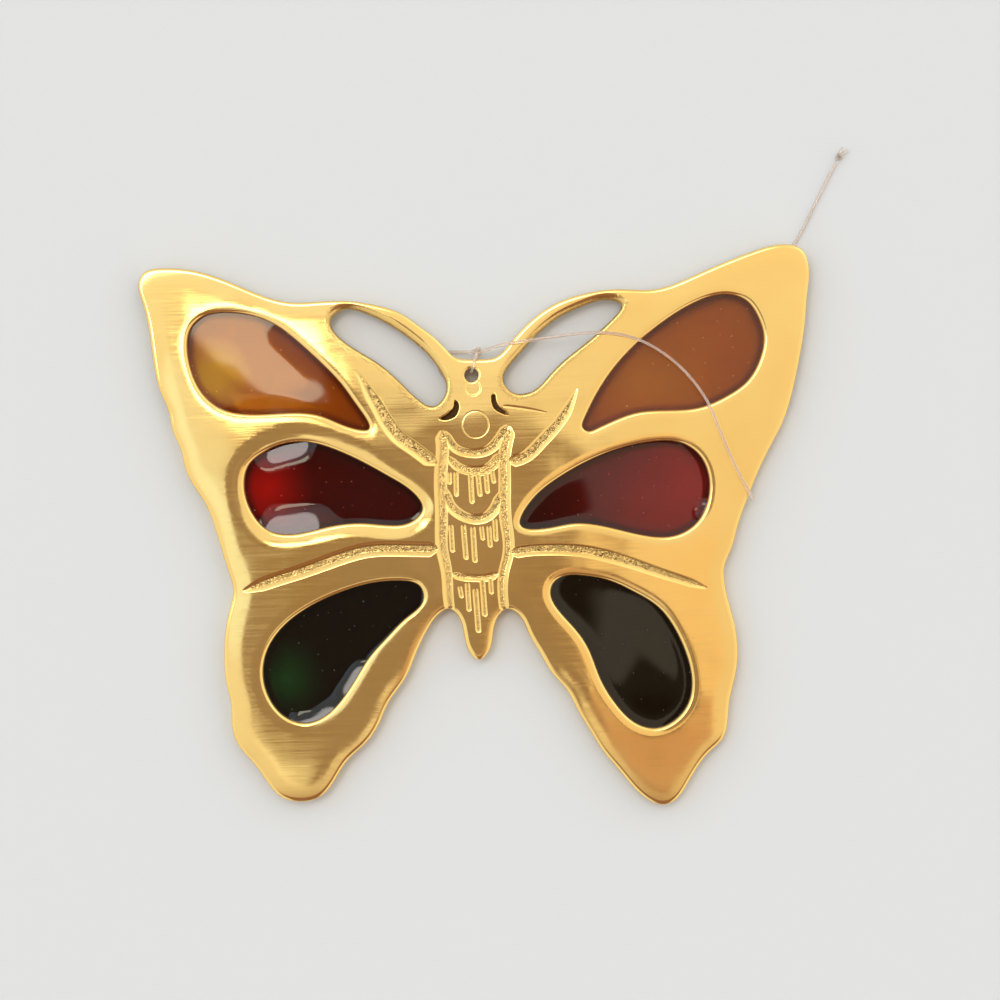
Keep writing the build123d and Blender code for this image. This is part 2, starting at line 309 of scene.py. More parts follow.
# Chased lines: traced centre line, half width of the rough bottom at start, middle and end, widths of the
# left and right wall, depth, and the shares of its length over which it runs out at its start and end
chased_lines = [
    ([(438, 548.7), (426, 548.5), (398, 548), (370, 549), (348, 554), (328, 561), (300, 571), (265, 582.5),
      (243, 591)],
     (0.35, 0.35, 0.2), (0.95, 0.75), 0.45, (0.04, 0.1)),
    ([(509, 553), (519, 550.5), (549, 548), (578, 549), (607, 554.5), (637, 563.5), (666, 573.5), (695, 583),
      (707, 588)],
     (0.35, 0.45, 0.1), (0.3, 0.75), 0.3, (0.04, 0.08)),
    ([(438, 464), (427, 456), (411, 444), (400, 436), (391.5, 426), (385, 416), (377, 402), (368, 388),
      (361, 377), (354, 370)],
     (0.45, 0.55, 0.12), (0.95, 0.3), 0.33, (0.08, 0.25)),
    ([(508, 461), (526, 455), (538, 444), (552, 429), (564, 413.5), (571, 401), (577, 388)],
     (0.36, 0.36, 0.12), (0.5, 0.75), 0.3, (0.06, 0.25)),
    ([(442, 430), (444, 446), (442.5, 470), (442.5, 500), (443, 525), (443.5, 548), (447, 565), (449, 580),
      (449.5, 592), (451, 607)],
     (0.36, 0.36, 0.16), (0.4, 0.9), 0.22, (0.04, 0)),
    ([(509, 426), (506, 440), (503.5, 455), (503.5, 475), (503.5, 500), (504.5, 520), (506.5, 533),
      (507.5, 545), (506.5, 556), (503, 570), (501.5, 582), (501.5, 592), (503, 607)],
     (0.36, 0.36, 0.16), (0.8, 0.4), 0.22, (0.04, 0)),
    ([(445, 431), (450, 440), (456, 447.5), (465, 451), (476, 452), (488, 448.5), (499, 438), (508, 425)],
     (0.16, 0.22, 0.4), (0.4, 0.7), 0.27, (0.08, 0.08)),
    ([(448, 456), (458, 466.5), (470, 470), (484, 469.5), (494, 463), (501, 453)],
     (0.2, 0.4, 0.45), (0.4, 0.45), 0.22, (0.1, 0.1)),
    ([(446, 488), (450, 503), (460, 513), (472, 517.5), (485, 516), (494, 507.5), (500, 492)],
     (0.3, 0.2, 0.3), (0.45, 0.8), 0.27, (0.1, 0.1)),
    ([(452, 573), (462, 576), (474, 577), (487, 576.5), (498, 573)],
     (0.12, 0.12, 0.12), (0.35, 0.65), 0.22, (0.1, 0.1)),
    ([(454.5, 399.5), (456.3, 405), (453.5, 412.5), (446.5, 417.2), (438.5, 418.8)],
     (0.1, 0.46, 0.06), (0.2, 0.2), 1.15, (0.1, 0.15)),
    ([(493.5, 392.5), (494, 401), (497, 407.5), (503, 411.5), (509, 415)],
     (0.15, 0.26, 0.08), (0.2, 0.25), 0.9, (0.1, 0.15)),
    ([(503, 406), (520, 408), (547, 412.5)], (0.04, 0.04, 0.03), (0.2, 0.14), 0.1, (0.1, 0.4)),
    ([(472.5, 383), (473, 388)], (0.75, 0.85, 0.95), (0.35, 0.35), 0.13, (0, 0)),
]
# A fine ring on the head: its middle and radius in the photograph
ring_pixel = (475.6, 424.4)
ring_reach = 13.3
ring_spots = [(ring_pixel[0] + ring_reach * math.cos(a), ring_pixel[1] + ring_reach * math.sin(a))
              for a in np.linspace(0, 2 * math.pi, 25)]
chased_lines.append((ring_spots, (0.02, 0.02, 0.02), (0.11, 0.11), 0.013, (0, 0)))
# Short strokes down the body, wider where they are longer: both ends in the photograph
stroke_half = 0.05
stroke_growth = 0.003
stroke_wall = 0.28
stroke_depth = 0.15
hair_strokes = [
    (449.5, 474, 449.7, 482), (456, 474, 456.5, 494), (470.5, 473, 472, 501), (478, 474, 480, 494),
    (486, 473, 487.5, 491), (492.5, 473, 493.8, 481), (451, 527, 452.5, 550), (463.5, 527, 466, 557),
    (473, 529, 475, 560), (481.5, 528, 482.8, 538), (489, 528, 490.3, 545), (495, 521, 496, 539),
    (460, 588, 461.5, 596), (467.5, 585, 469, 609), (475.5, 591, 478.5, 630), (482.5, 582, 485, 614),
    (490.5, 578, 491.5, 592),
]
for x0, y0, x1, y1 in hair_strokes:
    half = stroke_half + stroke_growth * (y1 - y0)
    stroke = [(x0, y0), ((x0 + x1) / 2, (y0 + y1) / 2), (x1, y1)]
    chased_lines.append((stroke, (half, half, half), (stroke_wall, stroke_wall), stroke_depth, (0, 0)))
cut_step = 0.1
cuts = [(smooth_line([spot(p) for p in line], False, cut_step), *shape) for line, *shape in chased_lines]


def cut_shape(cut, share):
    """Half width of a chased line's bottom, widths of its left and right wall, and depth along its length."""
    halves, walls, depth, ends = cut[1:]
    full = np.ones(len(share))
    for way, end in zip((share, 1 - share), ends):
        if end > 0:
            full = full * np.clip(way / end, 0, 1) ** 0.7
    half = np.interp(share, (0, 0.5, 1), halves) * full
    narrow = 0.25 + 0.75 * full
    return half, walls[0] * narrow, walls[1] * narrow, depth * full


# Points of the front: rows along every edge and chased line, grains in the rough bottoms, and a coarse
# honeycomb elsewhere. A row beside an edge has its distance from it and keeps every first or second point.
lip_rows = [(0.05, 1), (0.14, 1), (0.27, 1), (0.44, 1), (0.66, 1), (0.95, 2), (1.35, 2)]
# Share of its distance at which a point of a row may lie from another edge
own_share = 0.93
wall_step = 0.25
beyond_wall = 0.12
grain_step = 0.13
coarse_step = 0.62
# Least distances from the edges, and from the points that are there already
edge_room = 0.1
coarse_room = 1.6
row_gap = 0.045
grain_gap = 0.1
grain_to_row = 0.08
coarse_to_fine = 0.3
lip_to_fine = 0.06


def thinned(points, gap):
    """The points in their order, without any that lies nearer than the gap to an earlier one."""
    taken = {}
    kept = []
    for x, y in points.tolist():
        column, row = int(x // gap), int(y // gap)
        near = [p for i in (-1, 0, 1) for j in (-1, 0, 1) for p in taken.get((column + i, row + j), ())]
        if all((x - a) ** 2 + (y - b) ** 2 >= gap * gap for a, b in near):
            taken.setdefault((column, row), []).append((x, y))
            kept.append((x, y))
    return np.array(kept)


def clear_of(points, others, gap):
    """The points that lie further than the gap from all of the others."""
    tree = crowd(others)
    return points[[tree.find((x, y, 0))[2] > gap for x, y in points]]


rows = []
for row, (away, every) in enumerate(lip_rows):
    beside = np.vstack([(loop + side * away)[row % every::every] for loop, side in zip(loops, to_brass)])
    rows.append(beside[measure(beside, loops, True)[0] > own_share * away])
cut_rows = []
grains = []
for cut in cuts:
    line = cut[0]
    half, left_wall, right_wall = cut_shape(cut, np.linspace(0, 1, len(line)))[:3]
    along = np.gradient(line, axis=0)
    across = np.stack([-along[:, 1], along[:, 0]], 1) / np.hypot(*along.T)[:, None]
    for turn, wall in ((1, left_wall), (-1, right_wall)):
        parts = np.linspace(0, 1, 3 + int(wall.max() / wall_step))
        for reach in [half + part * wall for part in parts] + [half + wall + beyond_wall]:
            row = line + across * (turn * reach)[:, None]
            cut_rows.append(row[measure(row, [line], False)[0] > 0.9 * reach])
            # Half a turn of points round each end
            for end, near in ((0, 1), (-1, -2)):
                ahead = math.atan2(*(line[end] - line[near])[::-1])
                round_end = ahead + turn * np.arange(0, math.pi / 2, 0.1 / (reach[end] + 0.05))
                cut_rows.append(line[end] + reach[end] * np.stack([np.cos(round_end), np.sin(round_end)], 1))
    low, high = line.min(0) - 2, line.max(0) + 2
    cloud = honeycomb(low, high, grain_step)
    cloud = cloud[((cloud > low) & (cloud < high)).all(1)]
    grains.append(cloud[measure(cloud, [line], False)[0] < half.max() + 0.1])
rows = np.vstack(rows)
half_loops = [loop[::2] for loop in loops]
cut_rows = np.vstack(cut_rows)
cut_rows = cut_rows[(measure(cut_rows, loops, True)[0] > edge_room) & within(cut_rows, half_loops)]
cut_rows = thinned(cut_rows, row_gap)
grains = np.vstack(grains)
grains = grains[(measure(grains, loops, True)[0] > edge_room) & within(grains, half_loops)]
grains = thinned(clear_of(grains, cut_rows, grain_to_row), grain_gap)
fine = np.vstack([cut_rows, grains])
coarse = honeycomb(outer_loop.min(0), outer_loop.max(0), coarse_step)
rough_loops = [loop[::4] for loop in loops]
coarse = coarse[(measure(coarse, loops, True)[0] > coarse_room) & within(coarse, rough_loops)]
coarse = clear_of(coarse, fine, coarse_to_fine)
rows = clear_of(rows, fine, lip_to_fine)
sheet, sheet_faces, sheet_rims = triangulate(loops, np.vstack([rows, fine, coarse]))

# Width and depth of the rounded lips, and the fall of the plate towards its outer edge
outer_lip = (0.5, 0.36)
pane_lip = (0.45, 0.45)
hole_lip = (0.3, 0.2)
antenna_lip = (0.45, 0.5)
filed_lip = (0.75, 0.45)
edge_fall = 0.06
edge_reach = 3.0
# Hand polishing left the plate uneven by this much, and the head a little proud
swell_height = 0.03
head_height = 0.02
head_pixel = (474, 432)
# Height of the punch marks in the chased lines, and their tarnish and how much it varies
punch_height = 0.01
punch_tarnish = 0.4
punch_range = 0.24
# Tarnish along the openings at the antennae, and the width of it
antenna_tarnish = 0.3
antenna_stain = 0.8
# The buff wore the brass down beside each pane: depth and width
pane_dips = {
    "amber_pane_left": (0.03, 1.5), "amber_pane_right": (0.05, 1.3), "red_pane_left": (0.15, 2.8),
    "red_pane_right": (0.06, 1.3), "green_pane_left": (0.06, 1.8), "green_pane_right": (0.07, 1.4),
}


def rounded(gap, width, depth):
    """Drop of a lip that is rounded as a quarter of an ellipse."""
    inner = np.clip(1 - gap / width, 0, 1)
    return depth * (1 - np.sqrt(1 - inner ** 2))


def front_face(points):
    """Height of the front at each point, and how tarnished it is there."""
    outer_gap = measure(points, [outer_loop], True)[0]
    antenna_gap, _, _, antenna_place = measure(points, antenna_loops, True)
    pane_gap = measure(points, list(pane_loops.values()), True)[0]
    hole_gap = measure(points, [hole_loop], True)[0]
    level = front_height - rounded(outer_gap, *outer_lip)
    level -= edge_fall * np.clip(1 - outer_gap / edge_reach, 0, 1) ** 2
    level -= rounded(pane_gap, *pane_lip)
    for name, loop in pane_loops.items():
        dip, wide = pane_dips[name]
        near = ((points > loop.min(0) - wide) & (points < loop.max(0) + wide)).all(1).nonzero()[0]
        level[near] -= dip * np.clip(1 - measure(points[near], [loop], True)[0] / wide, 0, 1) ** 2
    # The openings at the antennae were filed out from the front along their upper side
    upper = np.clip(np.vstack(to_brass[1:3])[antenna_place][:, 1], 0, 1)
    level -= rounded(antenna_gap, antenna_lip[0] + filed_lip[0] * upper,
                     antenna_lip[1] + filed_lip[1] * upper)
    level -= rounded(hole_gap, *hole_lip)
    # Waves of about 13 and 5 mm
    swell = np.array([noise.noise((x / 13, y / 13, 0.3)) + 0.4 * noise.noise((x / 5, y / 5, 4.1))
                      for x, y in points])
    level += swell_height * swell * np.clip(outer_gap / 2, 0, 1)
    level += head_height * np.exp(-((points - spot(head_pixel)) ** 2).sum(1) / 16)
    cut_depth = np.zeros(len(points))
    chased = np.zeros(len(points))
    for cut in cuts:
        line, halves, walls = cut[:3]
        reach = max(halves) + max(walls)
        near = ((points > line.min(0) - reach) & (points < line.max(0) + reach)).all(1).nonzero()[0]
        if len(near) == 0:
            continue
        gap, side, share = measure(points[near], [line], False)[:3]
        half, left_wall, right_wall, deep = cut_shape(cut, share)
        rise = np.clip((gap - half) / np.where(side > 0, left_wall, right_wall), 0, 1)
        cut_depth[near] = np.maximum(cut_depth[near], deep * (1 - rise) ** 2 * (1 + 2 * rise))
        # Punched bottoms, but for the wide flat mark below the hole
        if max(halves) < 0.7:
            struck = np.clip(1 - 2.2 * rise, 0, 1) * np.clip(deep / 0.15 - 0.7, 0, 1)
            chased[near] = np.maximum(chased[near], struck)
    # Punch marks of about 0.34 and 0.2 mm
    pits = np.zeros(len(points))
    rough = (chased > 0).nonzero()[0]
    pits[rough] = [noise.noise((x / 0.34, y / 0.34, 7.7)) + 0.8 * noise.noise((x / 0.2, y / 0.2, 1.9))
                   for x, y in points[rough]]
    tarnish = chased * np.clip(punch_tarnish + punch_range * pits, 0, 1)
    # The two deepest cuts are dark
    tarnish = np.maximum(tarnish, np.clip(cut_depth / 0.35 - 1.6, 0, 1))
    tarnish = np.maximum(tarnish, antenna_tarnish * np.clip(1 - antenna_gap / antenna_stain, 0, 1))
    return level - cut_depth - punch_height * chased * pits, tarnish


heights, tarnish = front_face(sheet)
front_points = np.column_stack([sheet, heights])
# The front's normals come from its slopes, so that the polish shows no facets. On a rim they are read beside
# it.
beside_rim = 0.03
nudge = 0.012
probe = sheet.copy()
for rim, loop, side in zip(sheet_rims, loops, to_brass):
    probe[rim] = loop + side * beside_rim
slope_x, slope_y = [(front_face(probe + step)[0] - front_face(probe - step)[0]) / (2 * nudge)
                    for step in (np.array([nudge, 0]), np.array([0, nudge]))]
front_normals = np.column_stack([-slope_x, -slope_y, np.ones(len(sheet))])
front_normals /= np.linalg.norm(front_normals, axis=1)[:, None]

# Walls and back: each edge drops straight to a small chamfer, and the back is flat but for the relief towards
# the head
back_step = 2.0
back_room = 0.4
ramp_room = 1.6
back_loops = [loop + side * wall_chamfer for loop, side in zip(loops, to_brass)]
back_free = honeycomb(outer_loop.min(0), outer_loop.max(0), back_step)
relief_lines = [(x, y) for y in (relief_start, relief_start + relief_ramp) for x in np.arange(-50, 50, 0.5)]
off_ramp = np.abs(back_free[:, 1] - relief_start - relief_ramp / 2) > ramp_room
back_free = np.vstack([back_free[off_ramp], relief_lines])
back_free = back_free[(measure(back_free, back_loops, True)[0] > back_room) & within(back_free, back_loops)]
back, back_faces, back_rims = triangulate(back_loops, back_free)


def back_height(y):
    """Height of the back above the table."""
    return np.clip((y - relief_start) / relief_ramp, 0, 1) * relief_depth


points = [front_points, np.column_stack([back, back_height(back[:, 1])])]
back_start = len(sheet)
foot_start = back_start + len(back)
faces = [tuple(f) for f in sheet_faces] + [tuple(f[::-1] + back_start) for f in back_faces]
on_ramp = np.abs(back[back_faces].mean(1)[:, 1] - relief_start - relief_ramp / 2) < relief_ramp / 2
back_slope = np.where(on_ramp, relief_depth / relief_ramp, 0)
back_normals = np.column_stack([0 * back_slope, back_slope, 0 * back_slope - 1])
back_normals /= np.linalg.norm(back_normals, axis=1)[:, None]
corner_normals = [front_normals[sheet_faces.ravel()], np.repeat(back_normals, 3, 0)]
for number, (loop, front_rim, back_rim) in enumerate(zip(loops, sheet_rims, back_rims)):
    points.append(np.column_stack([loop, back_height(loop[:, 1]) + wall_chamfer]))
    out = np.column_stack([-to_brass[number], np.zeros(len(loop))])
    down = (out - (0, 0, 1)) / math.sqrt(2)
    for i in range(len(loop)):
        j = (i + 1) % len(loop)
        upper = (front_rim[i], foot_start + i, foot_start + j, front_rim[j])
        lower = (foot_start + i, back_start + back_rim[i], back_start + back_rim[j], foot_start + j)
        faces += [upper, lower] if number == 0 else [upper[::-1], lower[::-1]]
        turned = [i, i, j, j] if number == 0 else [j, j, i, i]
        corner_normals += [out[turned], down[turned]]
    foot_start += len(loop)

brass, tree = new_material("hand_polished_cast_brass")
place = add_node(tree, "ShaderNodeTexCoord").outputs["Object"]
# Polishing marks run across the wings, about 9 mm long and 0.3 mm apart, as coarse as they need to be to show
strokes = add_node(tree, "ShaderNodeMapping", {"Scale": (1 / 0.009, 1 / 0.0003, 1 / 0.009)},
                   {"Vector": place})
polish = add_node(tree, "ShaderNodeTexNoise", {"Scale": 1.0, "Detail": 3.0}, {"Vector": strokes.outputs[0]})
# Slow change of tone over about 12 mm, where the buff wore through to warmer metal
tone = add_node(tree, "ShaderNodeTexNoise", {"Scale": 1 / 0.012, "Detail": 2.0}, {"Vector": place})
tarnish_mark = add_node(tree, "ShaderNodeAttribute", {"attribute_name": "tarnish"})
# A few dark pits of about 0.1 mm, some 9 mm apart, where the buff didn't reach the bottom of a casting flaw
flaw = add_node(tree, "ShaderNodeTexVoronoi", {"voronoi_dimensions": "2D", "Scale": 1 / 0.009},
                {"Vector": place})
rarer = add_node(tree, "ShaderNodeMath", {"operation": "MULTIPLY_ADD", 1: 0.02},
                 {0: flaw.outputs["Color"], 2: flaw.outputs["Distance"]})
pit = add_node(tree, "ShaderNodeMapRange", {1: 0.006, 2: 0.013, 3: 0.8, 4: 0.0}, {0: rarer.outputs[0]})
# Punch marks in the chased lines, grains of about 0.16 mm that hold more tarnish in their hollows
grain = add_node(tree, "ShaderNodeTexNoise", {"Scale": 1 / 0.00016, "Detail": 1.0}, {"Vector": place})
punched = add_node(tree, "ShaderNodeMath", {"operation": "MULTIPLY", 1: 2.2, "use_clamp": True},
                   {0: tarnish_mark.outputs["Fac"]})
hollow = add_node(tree, "ShaderNodeMapRange", {1: 0.6, 2: 0.35, 3: 0.0, 4: 0.5}, {0: grain.outputs[0]})
held = add_node(tree, "ShaderNodeMath", {"operation": "MULTIPLY_ADD", "use_clamp": True},
                {0: punched.outputs[0], 1: hollow.outputs[0], 2: tarnish_mark.outputs["Fac"]})
dark = add_node(tree, "ShaderNodeMath", {"operation": "MAXIMUM"}, {0: held.outputs[0], 1: pit.outputs[0]})
metal = add_node(tree, "ShaderNodeMix", {"data_type": "RGBA", 6: linear(brass_bright), 7: linear(brass_warm)},
                 {0: tone.outputs[0]})
aged = add_node(tree, "ShaderNodeMix", {"data_type": "RGBA", 7: linear(brass_tarnish)},
                {0: dark.outputs[0], 6: metal.outputs[2]})
sheen = add_node(tree, "ShaderNodeMapRange", {1: 0.3, 2: 0.75, 3: 0.04, 4: 0.09}, {0: polish.outputs[0]})
rough = add_node(tree, "ShaderNodeMath", {"operation": "MULTIPLY_ADD", 1: 0.3},
                 {0: dark.outputs[0], 2: sheen.outputs[0]})
bump = add_node(tree, "ShaderNodeBump", {"Strength": 0.035, "Distance": 0.00003},
                {"Height": polish.outputs[0]})
bump = add_node(tree, "ShaderNodeBump", {"Distance": 0.00008},
                {"Height": grain.outputs[0], "Strength": punched.outputs[0], "Normal": bump.outputs[0]})
metal_face = add_node(tree, "ShaderNodeBsdfPrincipled", {"Metallic": 0.86},
                      {"Base Color": aged.outputs[2], "Roughness": rough.outputs[0],
                       "Normal": bump.outputs[0]})
add_node(tree, "ShaderNodeOutputMaterial", links={"Surface": metal_face.outputs[0]})

# The back keeps its skin from the sand mould: grains of about 0.5 mm, duller and browner than the front
cast_skin, tree = new_material("sand_cast_brass")
place = add_node(tree, "ShaderNodeTexCoord").outputs["Object"]
grit = add_node(tree, "ShaderNodeTexNoise", {"Scale": 1 / 0.0005, "Detail": 4.0}, {"Vector": place})
stain = add_node(tree, "ShaderNodeTexNoise", {"Scale": 1 / 0.009, "Detail": 3.0}, {"Vector": place})
skin = {"data_type": "RGBA", 6: linear(brass_cast), 7: linear(brass_tarnish)}
metal = add_node(tree, "ShaderNodeMix", skin, {0: stain.outputs[0]})
rough = add_node(tree, "ShaderNodeMapRange", {1: 0.2, 2: 0.8, 3: 0.32, 4: 0.5}, {0: grit.outputs[0]})
bump = add_node(tree, "ShaderNodeBump", {"Strength": 0.5, "Distance": 0.0001}, {"Height": grit.outputs[0]})
metal_face = add_node(tree, "ShaderNodeBsdfPrincipled", {"Metallic": 1.0},
                      {"Base Color": metal.outputs[2], "Roughness": rough.outputs[0],
                       "Normal": bump.outputs[0]})
add_node(tree, "ShaderNodeOutputMaterial", links={"Surface": metal_face.outputs[0]})

casting = solid_piece("butterfly_casting", np.vstack(points), faces, [brass, cast_skin])
marks = np.zeros(len(casting.data.vertices))
marks[:len(sheet)] = tarnish
casting.data.attributes.new("tarnish", "FLOAT", "POINT").data.foreach_set("value", marks)
for face in casting.data.polygons[len(sheet_faces):len(sheet_faces) + len(back_faces)]:
    face.material_index = 1
bpy.ops.object.shade_smooth()
casting.data.normals_split_custom_set(np.vstack(corner_normals).tolist())
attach(casting, "root")
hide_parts("wing_casting")

# Panes: clear tinted resin, poured into the openings from the front. Each one set flat but for a slight wave,
# and its rim, 2.4 mm wide, rose a little, and in places climbed up the brass or shrank from it. A few fine
# bubbles stayed in the resin.
pane_back = 0.9
pane_flat = 1.84
rim_width = 2.4
rim_rows = (0.12, 0.27, 0.45, 0.66, 0.9, 1.2, 1.55, 1.95, 2.4)
rim_room = 2.7
resin_step = 0.45
into_brass = 0.015
ripple_height = 0.012
ripple_length = 9
# Direction from the upper left of a pane to its middle
to_lower_right = (0.62, -0.78)
# Painted shade close to the brass, where its walls shade the resin, and the width of that edge
painted_edge_shade = 0.36
painted_shade_width = 1.0
# Colours of each resin's tint ramp, dark, deep and light: the painted shade by the brass pulls the tint
# towards the dark one, and the painted glow of light shining through pulls it towards the light one
resin_colours = {
    "amber": ("#94502C", "#DC8C30", "#FFD428"),
    "red": ("#6E0808", "#951614", "#ED3F34"),
    "green": ("#3C3228", "#484C39", "#62BC7C"),
}
# Rise of the rim at the upper left and at the lower right, clearness, and pixel, reach and gain of the spot
# where a glow of light shining through is painted in
pane_shapes = {
    "amber_pane_left": (0.0, 0.0, 0.4, (209, 376), 6.5, 0.65),
    "amber_pane_right": (0.03, 0.03, 0.44, (640, 385), 9.0, 0.1),
    "red_pane_left": (0.02, 0.04, 0.31, (262, 487), 8.0, 0.7),
    "red_pane_right": (0.05, 0.06, 0.27, (700, 480), 24.0, 0.52),
    "green_pane_left": (0.03, 0.04, 0.28, (284, 680), 8.0, 0.36),
    "green_pane_right": (0.02, 0.04, 0.25, (686, 690), 2.5, 0.1),
}
# Where the resin climbed up the brass or shrank from it: pixel, half length and width of the place, and rise
resin_climbs = {
    "amber_pane_left": [((322, 364), 9.5, 3.0, 0.1), ((292, 414), 10.5, 2.6, -0.07)],
    "red_pane_left": [((300, 532), 4.4, 3.4, 0.48), ((281, 444), 3.6, 2.6, -0.36)],
    "green_pane_left": [((352, 684), 3.2, 1.5, 0.17), ((318, 719), 3.6, 1.7, 0.2)],
    "red_pane_right": [((703, 510), 1.2, 1.6, 0.12)],
}
resins = {}
for tint, shades in resin_colours.items():
    resin, tree = new_material("poured_" + tint + "_resin")
    place = add_node(tree, "ShaderNodeTexCoord").outputs["Object"]
    # Uneven tint over about 14 mm, with painted shade by the brass and a painted glow of light shining
    # through at one spot
    cloud = add_node(tree, "ShaderNodeTexNoise", {"Scale": 1 / 0.014, "Detail": 1.5}, {"Vector": place})
    clearness_and_painted_light = add_node(tree, "ShaderNodeAttribute", {"attribute_name": "clearness_and_painted_light"})
    uneven = add_node(tree, "ShaderNodeMath", {"operation": "MULTIPLY_ADD", 1: 0.2},
                      {0: cloud.outputs[0], 2: clearness_and_painted_light.outputs["Fac"]})
    # Bubbles of up to 0.15 mm every 2 mm, which scatter the light
    bubble = add_node(tree, "ShaderNodeTexVoronoi", {"voronoi_dimensions": "2D", "Scale": 1 / 0.002},
                      {"Vector": place})
    rarer = add_node(tree, "ShaderNodeMath", {"operation": "MULTIPLY_ADD", 1: 0.12},
                     {0: bubble.outputs["Color"], 2: bubble.outputs["Distance"]})
    dot = add_node(tree, "ShaderNodeMapRange", {1: 0.05, 2: 0.08, 3: 1.0, 4: 0.0}, {0: rarer.outputs[0]})
    lighter = add_node(tree, "ShaderNodeMath", {"operation": "MULTIPLY_ADD", 1: 0.5, "use_clamp": True},
                       {0: dot.outputs[0], 2: uneven.outputs[0]})
    tinted = add_node(tree, "ShaderNodeValToRGB", links={0: lighter.outputs[0]})
    tinted.color_ramp.elements.new(0.45)
    for stop, shade in zip(tinted.color_ramp.elements, shades):
        stop.color = linear(shade)
    rough = add_node(tree, "ShaderNodeMapRange", {1: 0.0, 2: 1.0, 3: 0.02, 4: 0.4}, {0: dot.outputs[0]})
    glass = add_node(tree, "ShaderNodeBsdfPrincipled", {"Transmission Weight": 1.0, "IOR": 1.5},
                     {"Base Color": tinted.outputs[0], "Roughness": rough.outputs[0]})
    add_node(tree, "ShaderNodeOutputMaterial", links={"Surface": glass.outputs[0]})
    resins[tint] = resin


def resin_level(points, node, mouth):
    """Height of a pane's front, and the distance from its mouth, smooth also where two sides are near."""
    upper_left, lower_right = pane_shapes[node][:2]
    steps = np.hypot(*(np.roll(mouth, -1, 0) - mouth).T)
    away = np.maximum(np.hypot(*(points[:, None] - mouth[None]).transpose(2, 0, 1)), 0.05)
    pull = steps / away ** 3
    lean = 0.5 + 0.5 * (pull @ (inward(mouth) @ to_lower_right)) / pull.sum(1)
    near = measure(points, [mouth], True)[0]
    gap = near + (np.sqrt(2 / pull.sum(1)) - near) * np.clip(near / 0.4 - 0.75, 0, 1)
    rise = lean * upper_left + (1 - lean) * lower_right
    ripple = np.array([noise.noise((x / ripple_length, y / ripple_length, 2.2)) for x, y in points])
    level = pane_flat + rise * np.clip(1 - gap / rim_width, 0, 1) ** 3 + ripple_height * ripple
    for pixel, half, wide, climb in resin_climbs.get(node, []):
        off = np.hypot(*(points - spot(pixel)).T) / half
        # An even slope up to the rim that starts softly
        slant = 1 - gap / wide
        level += climb * (slant + np.sqrt(slant ** 2 + 0.03)) / 2 * np.exp(-off ** 4)
    return level, near


for node, mouth in pane_loops.items():
    tint = node.split("_")[0]
    clear, painted_glow_spot, reach, painted_glow_gain = pane_shapes[node][2:]
    mouth = mouth - inward(mouth) * into_brass
    inner = []
    for away in rim_rows:
        row = mouth + inward(mouth) * away
        inner.append(row[measure(row, [mouth], True)[0] > own_share * away])
    cloud = honeycomb(mouth.min(0), mouth.max(0), resin_step)
    inner.append(cloud[(measure(cloud, [mouth], True)[0] > rim_room) & within(cloud, [mouth])])
    top, top_faces, (rim,) = triangulate([mouth], np.vstack(inner))
    level, gap = resin_level(top, node, mouth)
    # Clear resin shows every facet too, so its normals come from its slopes
    probe = top.copy()
    probe[rim] = mouth + inward(mouth) * beside_rim
    slopes = []
    for step in (np.array([nudge, 0]), np.array([0, nudge])):
        ahead, behind = resin_level(probe + step, node, mouth)[0], resin_level(probe - step, node, mouth)[0]
        slopes.append((ahead - behind) / (2 * nudge))
    normals = np.column_stack([-slopes[0], -slopes[1], np.ones(len(top))])
    normals /= np.linalg.norm(normals, axis=1)[:, None]
    out = np.column_stack([-inward(mouth), np.zeros(len(mouth))])
    count = len(top)
    faces = [tuple(f) for f in top_faces] + [tuple(f[::-1] + count) for f in top_faces]
    corner_normals = [normals[top_faces.ravel()], np.tile((0, 0, -1.0), (3 * len(top_faces), 1))]
    for i in range(len(rim)):
        j = (i + 1) % len(rim)
        faces.append((rim[i], rim[i] + count, rim[j] + count, rim[j]))
        corner_normals.append(out[[i, i, j, j]])
    body = np.vstack([np.column_stack([top, level]), np.column_stack([top, np.full(count, pane_back)])])
    pane = solid_piece(node.replace("_pane_", "_resin_"), body, faces, [resins[tint]])
    # Painted glow of light shining through at one spot, and painted shade close to the brass, where its walls
    # shade the resin
    painted_glow = np.clip(1 - np.hypot(*(top - spot(painted_glow_spot)).T) / reach, 0, 1)
    clearness_and_painted_light = clear + painted_glow_gain * painted_glow - painted_edge_shade * np.clip(1.6 - 1.6 * gap / painted_shade_width, 0, 1)
    pane.data.attributes.new("clearness_and_painted_light", "FLOAT", "POINT").data.foreach_set("value", np.tile(clearness_and_painted_light, 2))
    bpy.ops.object.shade_smooth()
    pane.data.normals_split_custom_set(np.vstack(corner_normals).tolist())
    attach(pane, "root")
    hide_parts(node)

# Hanging line: one clear nylon monofilament, 0.45 mm thick, looped round the bridge above the hole and
# knotted. One tail runs on from the loop under the right wing to a small end knot, the other lies over the
# right wing.
line_radius = 0.000225  # metres
nylon_clear = "#FAF0E8"
nylon_dull = "#F2E2D8"
